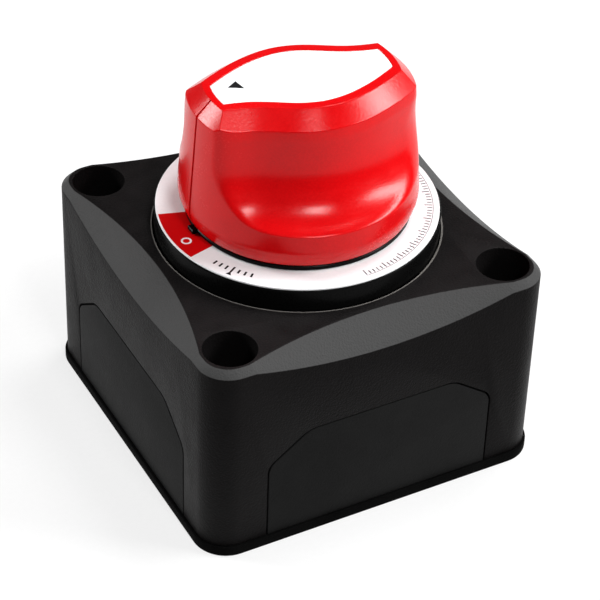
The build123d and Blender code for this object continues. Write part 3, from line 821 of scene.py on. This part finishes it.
class SWITCH_OT_label(bpy.types.Operator):
    """Printed dial label with its red sector, position marks and fine graduations"""

    bl_idname = "switch.label"
    bl_label = "Dial label"

    def execute(self, context):
        dial = context.scene.switch_dial
        outer = label_high.x
        inner = 14.0 * MM
        top = label_high.z
        edge = 0.06 * MM
        points = [
            (inner, label_low.z), (outer, label_low.z), (outer, top - edge),
            (outer - edge, top), (inner + edge, top), (inner, top - edge),
        ]
        piece("dial_ring", turned(points, 320), "label", "case", ["dial_label"])
        depth = dial.print_height
        height = top + depth
        red = bmesh.new()
        arc_mark(red, 20.6 * MM, outer - 0.3 * MM, dial.sector_start, dial.sector_end, height, 40)
        self.printing("off_sector", red, depth, "red_print")
        white = bmesh.new()
        self.ring_mark(white, 23.75 * MM, dial.off_angle, 1.0 * MM, 0.62 * MM, height + depth)
        self.printing("off_mark", white, depth, "white_print")
        black = bmesh.new()
        half = radians(1.0)
        self.arrow(black, 25.2 * MM, dial.remove_angle, 0.62 * MM, height)
        self.lift_mark(black, 23.9 * MM, dial.remove_angle, height)
        arc_mark(black, 22.6 * MM, 25.0 * MM, dial.on_angle - half, dial.on_angle + half, height, 4)
        self.printing("position_marks", black, depth, "black_print")
        grey = bmesh.new()
        self.graduations(grey, height)
        self.printing("graduations", grey, depth, "grey_print")
        return {"FINISHED"}

    def printing(self, name, bm, depth, finish):
        print_piece(name, bm, depth, finish, "case")

    def ring_mark(self, bm, reach, angle, radius, hollow, height):
        """A ring centred on the dial's face, the usual mark for off."""
        centre = Vector((reach * cos(angle), reach * sin(angle), height))
        a = bm.verts.new(centre + Vector((hollow, 0, 0)))
        b = bm.verts.new(centre + Vector((radius, 0, 0)))
        edge = bm.edges.new((a, b))
        bmesh.ops.spin(
            bm, geom=[a, b, edge], cent=centre, axis=(0, 0, 1), angle=2 * pi, steps=48, use_merge=True)

    def arrow(self, bm, reach, angle, size, height):
        """A small triangle that points at the dial's axis."""
        place = Matrix.Rotation(angle, 4, "Z") @ Matrix.Translation((reach, 0, height))
        turn = Matrix.Rotation(pi / 2, 4, "Z")
        bmesh.ops.create_circle(bm, cap_ends=True, segments=3, radius=size, matrix=place @ turn)

    def lift_mark(self, bm, reach, angle, height):
        """A row of short bars and a longer one, for the place where the knob lifts off."""
        for place in (-9, -6, -3, 0, 3, 6, 9):
            middle = angle + radians(place)
            half = (0.55 if place else 0.85) * MM
            width = radians(0.45)
            arc_mark(bm, reach - half, reach + half, middle - width, middle + width, height, 2)

    def graduations(self, bm, height):
        """Fine graduations round the side of the label away from the switch positions."""
        start = radians(-88.0)
        pitch = radians(2.0)
        width = radians(0.28)
        outer = 24.8 * MM
        for count in range(52):
            middle = start + count * pitch
            inner = (23.9 if count % 5 else 23.4) * MM
            arc_mark(bm, inner, outer, middle - width, middle + width, height, 2)
        arc_mark(bm, 24.95 * MM, 25.05 * MM, radians(-88.3), radians(14.3), height, 80)


def keyed(angles, radius, reach, width):
    """Radii of a round shape with two keys along X."""
    half = width / 2
    return [min(reach, max(radius, half / max(abs(sin(angle)), 1e-6))) for angle in angles]


def round_ring(angles, radius, height):
    """One circular ring of a loft."""
    return angles, [radius] * len(angles), height


def even_angles(count, extra=()):
    """Evenly spaced angles round the dial, with extra ones where an edge needs them."""
    even = [2 * pi * step / count for step in range(count)]
    return sorted(set(round(angle % (2 * pi), 6) for angle in [*even, *extra]))


class SWITCH_OT_rotor(bpy.types.Operator):
    """Rotor disc with its pointer tab and the keyed socket for the knob"""

    bl_idname = "switch.rotor"
    bl_label = "Rotor"

    def execute(self, context):
        sizes = context.scene.switch_knob
        tab_half = 0.925 * MM
        disc = disc_high.x
        tab = -disc_low.x
        edges = [pi + side * (atan2(tab_half, tab) + nudge) for side in (-1, 1) for nudge in (0, 0.0012)]
        angles = even_angles(360, edges)
        clear = 0.1 * MM
        lip = 0.12 * MM
        bottom = label_high.z + 0.2 * MM
        socket_floor = disc_high.z - 5.8 * MM
        shaft = 9.5 * MM
        shaft_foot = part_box("contact_carrier")[1].z
        reach = atan2(tab_half, tab) + 0.0006

        def outline(less, height):
            radii = [(tab if abs(turn - pi) < reach else disc) - less for turn in angles]
            return angles, radii, height

        def socket(more, height):
            gap = clear + more
            return angles, keyed(angles, sizes.post + gap, sizes.key + gap, sizes.key_width + 2 * gap), height

        rings = [
            round_ring(angles, shaft - lip, shaft_foot),
            round_ring(angles, shaft, shaft_foot + lip),
            round_ring(angles, shaft, bottom),
            outline(lip, bottom), outline(0, bottom + lip), outline(0, KNOB_FOOT - lip),
            outline(lip, KNOB_FOOT), socket(lip, KNOB_FOOT), socket(0, KNOB_FOOT - lip),
            socket(0, socket_floor),
        ]
        piece("rotor_face", lofted(rings), "collar", "rotor", ["rotor_disc"], 30.0)
        return {"FINISHED"}


# ---------------------------------------------------------------- knob

GRIP_POINTS = [
    (-27.5, -4.3), (-19.5, -6.65), (-13.9, -8.1), (-7.4, -11.5),
    (0.0, -13.7), (7.6, -13.0), (18.5, -8.6), (26.5, -4.1),
]
FAR = 0.2


def smooth_line(points, steps=1600):
    """A natural cubic spline through points, sampled finely."""
    spots = np.array(points)
    t = np.concatenate([[0], np.cumsum(np.hypot(*np.diff(spots, axis=0).T))])
    gaps = np.diff(t)
    count = len(t)
    matrix = np.eye(count)
    right = np.zeros((count, 2))
    for i in range(1, count - 1):
        matrix[i, i - 1:i + 2] = gaps[i - 1], 2 * (gaps[i - 1] + gaps[i]), gaps[i]
        right[i] = 6 * ((spots[i + 1] - spots[i]) / gaps[i] - (spots[i] - spots[i - 1]) / gaps[i - 1])
    bend = np.linalg.solve(matrix, right)
    fine = np.linspace(0, t[-1], steps)
    i = np.clip(np.searchsorted(t, fine) - 1, 0, count - 2)
    h = gaps[i][:, None]
    a = (t[i + 1] - fine)[:, None] / h
    b = 1 - a
    curve = a * spots[i] + b * spots[i + 1]
    return curve + ((a ** 3 - a) * bend[i] + (b ** 3 - b) * bend[i + 1]) * h ** 2 / 6


def eased(value, low, high):
    """Zero below low, one above high, and smooth between."""
    part = np.clip((value - low) / (high - low), 0.0, 1.0)
    return part * part * (3 - 2 * part)


class Grip:
    """The knob's shape: a round drum cut by two scoops along an S-shaped grip line."""

    def __init__(self, sizes):
        self.sizes = sizes
        self.line = smooth_line(GRIP_POINTS) * MM
        along = np.gradient(self.line, axis=0)
        along /= np.hypot(*along.T)[:, None]
        self.outward = np.stack([along[:, 1], -along[:, 0]], 1)
        self.chamfer_foot = KNOB_TOP - sizes.chamfer_height
        self.groove = asin(0.25 * MM / sizes.shoulder)
        self.nose, self.tail = self.corners(sizes.shoulder, 0.0)
        extra = [pi + side * self.groove * part for side in (-1, 1) for part in (0.4, 1.0, 1.3)]
        for corner in (self.nose, self.tail, self.nose - pi, self.tail - pi):
            extra += [corner + radians(step) for step in (-0.5, -0.25, -0.1, 0.0, 0.1, 0.25, 0.5)]
        self.angles = np.array(even_angles(sizes.columns, extra))

    def side(self, offset, angles):
        """Radii at which rays meet the front wall's line moved outwards by an offset."""
        moved = self.line + self.outward * offset
        turn = np.unwrap(np.arctan2(moved[:, 1], moved[:, 0]))
        turn += 2 * pi * round((1.5 * pi - turn[len(turn) // 2]) / (2 * pi))
        asked = (angles - pi / 2) % (2 * pi) + pi / 2
        return np.interp(asked, turn, np.hypot(*moved.T), left=FAR, right=FAR)

    def corners(self, drum, offset):
        """Angles at which the moved line crosses a circle: the nose and the tail of the front scoop."""
        dense = np.radians(np.arange(181.0, 359.0, 0.02))
        inside = dense[self.side(offset, dense) < drum]
        return inside[0], inside[-1]

    def following(self, drum, offset):
        """The columns' angles, shifted so that the same columns stay on the corners."""
        nose, tail = self.corners(drum, offset)
        knots = [0, self.nose - pi, self.tail - pi, pi, self.nose, self.tail, 2 * pi]
        moved = [0, nose - pi, tail - pi, pi, nose, tail, 2 * pi]
        return np.interp(self.angles, knots, moved)

    def softness(self, angles, z):
        """How round the edge between drum and wall is: widest at the nose, less along the scoop."""
        off_nose = (angles - self.nose + pi / 2) % pi - pi / 2
        off_tail = (angles - self.tail + pi / 2) % pi - pi / 2
        near_nose = 1 - eased(np.abs(off_nose), radians(6), radians(30))
        near_tail = 1 - eased(np.abs(off_tail), radians(5), radians(25))
        depth = self.chamfer_foot - z
        nose = 1.3 + 1.9 * float(1 - eased(depth, 7 * MM, 14 * MM))
        tail = 0.9 + 1.8 * float(eased(depth, 0.5 * MM, 6 * MM))
        edge = 1.3
        return (edge + (nose - edge) * near_nose + (tail - edge) * near_tail) * MM

    def blended(self, angles, drum, offset, soft):
        """Radii of the drum cut by both walls, with their edges rounded."""
        radii = np.full(len(angles), drum)
        if offset is not None:
            for half in (0, pi):
                wall = self.side(offset, angles + half)
                overlap = np.maximum(soft - np.abs(radii - wall), 0.0) / soft
                radii = np.minimum(radii, wall) - overlap * overlap * soft / 4
        return radii

    def grooved(self, radii, depth):
        """Radii with the narrow index groove sunk at the pointer's end."""
        inside = np.abs(self.angles - pi) < self.groove * 1.1
        return radii - depth * inside

    def wall_ring(self, z, thinner=0.0, depth=0.0):
        """One ring up the side of the knob, or of its hollow when it is made thinner."""
        drum = self.drum(z - KNOB_FOOT) - thinner
        radii = self.blended(self.angles, drum, self.wall_offset(z, thinner), self.softness(self.angles, z))
        return self.angles, self.grooved(radii, depth), z

    def crisp_ring(self, drum, offset, z, depth=0.0, under=False):
        """One ring over the chamfer or the rim, whose corners are crisp."""
        angles = self.following(drum, offset)
        radii = self.blended(angles, drum, offset, 0.1 * MM)
        if under:
            soft = self.softness(angles, self.chamfer_foot)
            wall = self.blended(angles, self.sizes.shoulder, self.wall_offset(z), soft)
            radii = np.minimum(radii, wall)
        return angles, self.grooved(radii, depth), z

    def drum(self, height):
        """Radius of the round blank at a height over the knob's foot."""
        sizes = self.sizes
        if height > 6.0 * MM:
            full = self.chamfer_foot - KNOB_FOOT
            part = min(1.0, (height - 6.0 * MM) / (full - 6.0 * MM))
            start = sizes.belly - 0.12 * MM
            return start + (sizes.shoulder - start) * part
        heights = [0.0, 0.06, 0.2, 0.5, 1.4, 2.6, 3.6, 4.6, 6.0]
        shares = [-1.75, -1.4, -1.15, -0.9, -0.5, -0.13, 0.0, -0.04, -0.12]
        return sizes.belly + float(np.interp(height / MM, heights, shares)) * MM

    def wall_offset(self, z, inset=0.0):
        """The scooped wall's distance at one height, eased where its straight part meets the bowl."""
        here = self.bowl_offset(z, inset)
        if here is None or inset:
            return here
        above_floor = z - KNOB_FOOT - self.sizes.scoop_floor
        reach = min(3.0 * MM, self.chamfer_foot - z, above_floor * 0.6)
        if reach <= 0:
            return here
        samples = [self.bowl_offset(z + reach * step / 6, inset) for step in range(-6, 7)]
        return sum(samples) / len(samples)

    def bowl_offset(self, z, inset=0.0):
        """Distance of the scooped wall outside the grip line at one height, or None below it."""
        sizes = self.sizes
        radius = sizes.scoop_radius + inset
        centre_z = KNOB_FOOT + sizes.scoop_floor + sizes.scoop_radius
        turn_z = centre_z + radius * sin(sizes.scoop_draft)
        lean = tan(sizes.scoop_draft)
        lip = inset / cos(sizes.scoop_draft)
        if z >= turn_z:
            return (self.chamfer_foot - z) * lean - lip
        if z < centre_z - radius:
            return None
        turn_x = (self.chamfer_foot - turn_z) * lean - lip
        centre_x = turn_x + radius * cos(sizes.scoop_draft)
        return centre_x - sqrt(max(0.0, radius ** 2 - (z - centre_z) ** 2))


class SWITCH_OT_knob(bpy.types.Operator):
    """Hollow red key knob with two finger scoops, its drive post and two keys"""

    bl_idname = "switch.knob"
    bl_label = "Knob"

    def execute(self, context):
        sizes = context.scene.switch_knob
        grip = Grip(sizes)
        rings = self.inside(grip, sizes) + self.side_rings(grip, sizes) + self.crown(grip, sizes)
        piece("key_knob", lofted(rings), "knob", "key_knob", ["knob"], 32.0)
        return {"FINISHED"}

    def side_rings(self, grip, sizes):
        """Rings from the foot up the scooped walls, close together over the floor of the scoops."""
        depth = sizes.groove
        heights = [0.0, 0.05, 0.12, 0.2, 0.32, 0.5, 0.8, 1.1, 1.5, 2.0, 2.5, 3.0, 3.6, 4.2, 5.0, 5.8, 6.4]
        rings = [grip.wall_ring(KNOB_FOOT + height * MM, 0.0, depth) for height in heights]
        floor = KNOB_FOOT + sizes.scoop_floor
        z = floor + 0.002 * MM
        while z < grip.chamfer_foot - 0.12 * MM:
            rings.append(grip.wall_ring(z, 0.0, depth))
            z += max(0.06 * MM, min(0.42 * MM, (z - floor) * 0.09))
        rings.append(grip.wall_ring(grip.chamfer_foot - 0.06 * MM, 0.0, depth))
        return rings

    def crown(self, grip, sizes):
        """Rings over the top chamfer and the rim, and down into the insert's pocket."""
        foot = grip.chamfer_foot
        depth = sizes.groove
        soft = 0.05 * MM
        steps = [0.02 + 0.07 * step for step in range(15)] + [1.25, 1.5, 1.75, 2.0, 2.3, 2.55, 2.72]
        rings = []
        for step in steps:
            part = step * MM / sizes.chamfer_height
            drum = sizes.shoulder - sizes.end_run * part
            rings.append(grip.crisp_ring(drum, -sizes.chamfer_run * part, foot + step * MM, depth, True))
        end = sizes.shoulder - sizes.end_run
        rings += [
            grip.crisp_ring(end + 0.2 * soft, -sizes.chamfer_run + 0.2 * soft, KNOB_TOP - 0.4 * soft),
            grip.crisp_ring(end - soft, -sizes.chamfer_run - soft, KNOB_TOP),
        ]
        pocket = -sizes.chamfer_run - sizes.rim + 0.05 * MM
        pocket_end = end - sizes.rim + 0.65 * MM
        rings += [
            grip.crisp_ring(pocket_end + soft, pocket + soft, KNOB_TOP),
            grip.crisp_ring(pocket_end, pocket, KNOB_TOP - soft),
            grip.crisp_ring(pocket_end, pocket, insert_low.z),
        ]
        return rings

    def inside(self, grip, sizes):
        """Rings from the tip of the post up to the ceiling and down the inner wall to the foot."""
        angles = grip.angles

        def keys(less, height):
            width = sizes.key_width - 2 * less
            return angles, keyed(angles, sizes.post - less, sizes.key - less, width), height

        tip = knob_low.z
        soft = 0.25 * MM
        key_top = KNOB_FOOT - 2.2 * MM
        groove = KNOB_FOOT - 1.1 * MM
        half = 0.55 * MM
        ceiling = grip.chamfer_foot - 0.8 * MM
        rings = [
            keys(soft, tip), keys(0, tip + soft), keys(0, key_top),
            round_ring(angles, sizes.post, key_top),
            round_ring(angles, sizes.post, groove - half),
            round_ring(angles, sizes.post - 2 * half, groove - half),
            round_ring(angles, sizes.post - 2 * half, groove + half),
            round_ring(angles, sizes.post, groove + half),
            round_ring(angles, sizes.post, ceiling),
        ]
        low = KNOB_FOOT + sizes.scoop_floor - sizes.wall
        z = ceiling
        while z > low:
            rings.append(grip.wall_ring(z, sizes.wall))
            z -= 0.8 * MM
        mouth = sizes.belly - 2.9 * MM
        rings += [
            round_ring(angles, grip.drum(low - KNOB_FOOT) - sizes.wall, low),
            round_ring(angles, mouth, KNOB_FOOT + 1.0 * MM),
            round_ring(angles, mouth, KNOB_FOOT + 0.15 * MM),
            round_ring(angles, mouth + 0.15 * MM, KNOB_FOOT),
        ]
        return rings


class SWITCH_OT_insert(bpy.types.Operator):
    """White insert in the knob's top, with a black pointer"""

    bl_idname = "switch.insert"
    bl_label = "Knob insert"

    def execute(self, context):
        sizes = context.scene.switch_knob
        grip = Grip(sizes)
        end = sizes.shoulder - sizes.end_run - sizes.rim + 0.6 * MM
        offset = -sizes.chamfer_run - sizes.rim
        soft = 0.06 * MM
        top = insert_high.z - 0.03 * MM
        rings = [
            grip.crisp_ring(end, offset, insert_low.z),
            grip.crisp_ring(end, offset, top - soft),
            grip.crisp_ring(end - soft, offset - soft, top),
        ]
        piece("white_insert", lofted(rings), "insert", "key_knob", ["knob_label"], 60.0)
        bm = bmesh.new()
        height = top + 0.02 * MM
        corners = [(-13.55, 2.28), (-10.98, 0.85), (-11.38, 3.56)]
        bm.faces.new([bm.verts.new((x * MM, y * MM, height)) for x, y in corners])
        print_piece("pointer_mark", bm, 0.02 * MM, "black_print", "key_knob")
        return {"FINISHED"}


# ---------------------------------------------------------------- inside

NODE_FINISHES = {
    "rubber": ["collar_gasket", "shaft_seal", "knob_grip_ring"],
    "insulator": ["contact_base", "contact_carrier"],
    "zinc": ["carrier_screw", "case_screws"],
    "spring": ["detent_spring"],
    "ball": ["detent_ball"],
    "nut": ["stud_jam_nuts", "stud_nuts", "stud_washers", "stud_lock_washers"],
    "tin": ["terminal_stud_supply", "terminal_stud_load"],
    "copper": ["contact_bar"],
    "silver": ["moving_contacts", "fixed_contacts"],
}


class SWITCH_OT_inner_finishes(bpy.types.Operator):
    """Finishes for the pieces inside the case"""

    bl_idname = "switch.inner_finishes"
    bl_label = "Inner finishes"

    def execute(self, context):
        for finish, names in NODE_FINISHES.items():
            for name in names:
                for slot in frame["nodes"][name].material_slots:
                    slot.material = finishes[finish]
        return {"FINISHED"}


class SWITCH_OT_contact_coil(bpy.types.Operator):
    """Coil spring over the contact bar"""

    bl_idname = "switch.contact_coil"
    bl_label = "Contact spring"

    def execute(self, context):
        low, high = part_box("contact_spring")
        wire = 0.4 * MM
        turns = 3
        steps = 72 * turns
        bm = bmesh.new()
        start = Matrix.Translation((high.x - wire, 0, low.z + wire)) @ Matrix.Rotation(pi / 2, 4, "X")
        loop = bmesh.ops.create_circle(bm, cap_ends=False, segments=16, radius=wire, matrix=start)["verts"]
        rise = (high.z - low.z - 2 * wire) / steps
        bmesh.ops.spin(
            bm, geom=loop + list(bm.edges), cent=(0, 0, 0), axis=(0, 0, 1), dvec=(0, 0, rise),
            angle=2 * pi * turns, steps=steps, use_merge=False)
        bmesh.ops.holes_fill(bm, edges=[edge for edge in bm.edges if edge.is_boundary])
        bmesh.ops.recalc_face_normals(bm, faces=bm.faces)
        coil = piece("contact_coil", bm, "spring", "rotor", ["contact_spring"])
        lift = next(joint for joint in record["behaviour"]["joints"] if joint["name"] == "contact_lift")
        travel = max(abs(end) for end in lift["range_m"])
        tall = high.z - low.z
        1 - travel / tall
        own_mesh(coil)
        return {"FINISHED"}


# ---------------------------------------------------------------- stage

class StageSizes(bpy.types.PropertyGroup):
    turn: angle_of("Turn", "Camera's turn round the switch from the front", -29.17)
    tilt: angle_of("Tilt", "Camera's height over the horizon", 38.23)
    roll: angle_of("Roll", "Camera's roll about its line of sight", 2.09)
    distance: size_of("Distance", "Distance from the camera to the switch", 457.75)
    aim_height: size_of("Aim height", "Height of the point that the camera looks at", 25.0)
    shift_right: size_of("Shift right", "Camera moved to its right", 1.09, -50.0)
    shift_up: size_of("Shift up", "Camera moved up across its line of sight", -0.67, -50.0)
    lens: FloatProperty(
        name="Lens", description="Focal length for a 36 mm wide sensor", default=144.67, unit="CAMERA")
    floor_size: size_of("Floor size", "Width of the floor", 6000.0)


AIM = (0, 0, 0.045)
LIGHTS = {
    "left_box": ((-0.64, 0.62, 0.50), (0.24, 0.24), 6.4),
    "right_box": ((0.70, -0.38, 0.62), (0.46, 0.22), 9.2),
    "top_box": ((0.36, 0.14, 0.96), (0.30, 0.30), 4.4),
    "front_box": ((-0.02, -0.60, 0.84), (0.18, 0.18), 3.4),
}
ROOM_LIGHT = 0.12


def soft_light(name, place, size, power):
    """A rectangular studio softbox."""
    data = bpy.data.lights.new(name, "AREA")
    data.shape = "RECTANGLE"
    data.size, data.size_y = size
    data.energy = power
    made = bpy.data.objects.new(name, data)
    made.location = place
    made.rotation_euler = (Vector(AIM) - Vector(place)).to_track_quat("-Z", "Y").to_euler()
    bpy.context.scene.collection.objects.link(made)


class SWITCH_OT_stage(bpy.types.Operator):
    """Camera, pale floor and soft studio light"""

    bl_idname = "switch.stage"
    bl_label = "Stage"

    def execute(self, context):
        scene = context.scene
        stage = scene.switch_stage
        self.camera(scene, stage)
        bm = bmesh.new()
        bmesh.ops.create_grid(bm, x_segments=8, y_segments=8, size=stage.floor_size / 2)
        mesh = bpy.data.meshes.new("floor")
        bm.to_mesh(mesh)
        bm.free()
        mesh.materials.append(ground())
        floor = bpy.data.objects.new("floor", mesh)
        scene.collection.objects.link(floor)
        for name, (place, size, power) in LIGHTS.items():
            soft_light(name, place, size, power)
        world = bpy.data.worlds.new("studio")
        world.use_nodes = True
        back = world.node_tree.nodes["Background"]
        back.inputs["Color"].default_value = (1.0, 1.0, 1.0, 1.0)
        back.inputs["Strength"].default_value = ROOM_LIGHT
        scene.world = world
        scene.view_settings.view_transform = "Standard"
        return {"FINISHED"}

    def camera(self, scene, stage):
        """A long lens over the front left of the switch, turned and shifted to frame it."""
        back = Vector((
            sin(stage.turn) * cos(stage.tilt),
            -cos(stage.turn) * cos(stage.tilt),
            sin(stage.tilt),
        ))
        level = Vector((cos(stage.turn), sin(stage.turn), 0))
        upright = back.cross(level)
        right = cos(stage.roll) * level + sin(stage.roll) * upright
        up = -sin(stage.roll) * level + cos(stage.roll) * upright
        place = Vector((0, 0, stage.aim_height)) + back * stage.distance
        place += right * stage.shift_right + up * stage.shift_up
        data = bpy.data.cameras.new("camera")
        data.sensor_width = 36.0
        data.lens = stage.lens
        data.clip_start = 0.01
        made = bpy.data.objects.new("camera", data)
        axes = Matrix((right, up, back)).transposed().to_4x4()
        made.matrix_world = Matrix.Translation(place) @ axes
        scene.collection.objects.link(made)
        scene.camera = made


class SWITCH_PT_panel(bpy.types.Panel):
    """Sizes, colours and steps of the battery switch"""

    bl_idname = "SWITCH_PT_panel"
    bl_label = "Battery Switch"
    bl_space_type = "VIEW_3D"
    bl_region_type = "UI"
    bl_category = "Battery Switch"

    def draw(self, context):
        layout = self.layout
        for group in GROUPS:
            box = layout.box()
            owner = getattr(context.scene, group)
            for name in owner.bl_rna.properties.keys():
                if name not in ("rna_type", "name"):
                    box.prop(owner, name)
        for operator in OPERATORS:
            layout.operator(operator.bl_idname)


GROUPS = {
    "switch_case": CaseSizes,
    "switch_window": WindowSizes,
    "switch_dial": DialSizes,
    "switch_knob": KnobSizes,
    "switch_colours": SwitchColours,
    "switch_stage": StageSizes,
}
OPERATORS = [
    SWITCH_OT_finishes,
    SWITCH_OT_stage,
    SWITCH_OT_case,
    SWITCH_OT_side_plates,
    SWITCH_OT_base,
    SWITCH_OT_collar,
    SWITCH_OT_label,
    SWITCH_OT_rotor,
    SWITCH_OT_knob,
    SWITCH_OT_insert,
    SWITCH_OT_inner_finishes,
    SWITCH_OT_contact_coil,
]


def register():
    for made in [*GROUPS.values(), *OPERATORS, SWITCH_PT_panel]:
        bpy.utils.register_class(made)
    for name, group in GROUPS.items():
        setattr(bpy.types.Scene, name, PointerProperty(type=group))


def unregister():
    for name in GROUPS:
        delattr(bpy.types.Scene, name)
    for made in reversed([*GROUPS.values(), *OPERATORS, SWITCH_PT_panel]):
        bpy.utils.unregister_class(made)


def main():
    register()
    for operator in OPERATORS:
        group, name = operator.bl_idname.split(".")
        getattr(getattr(bpy.ops, group), name)()


if __name__ == "__main__":
    main()
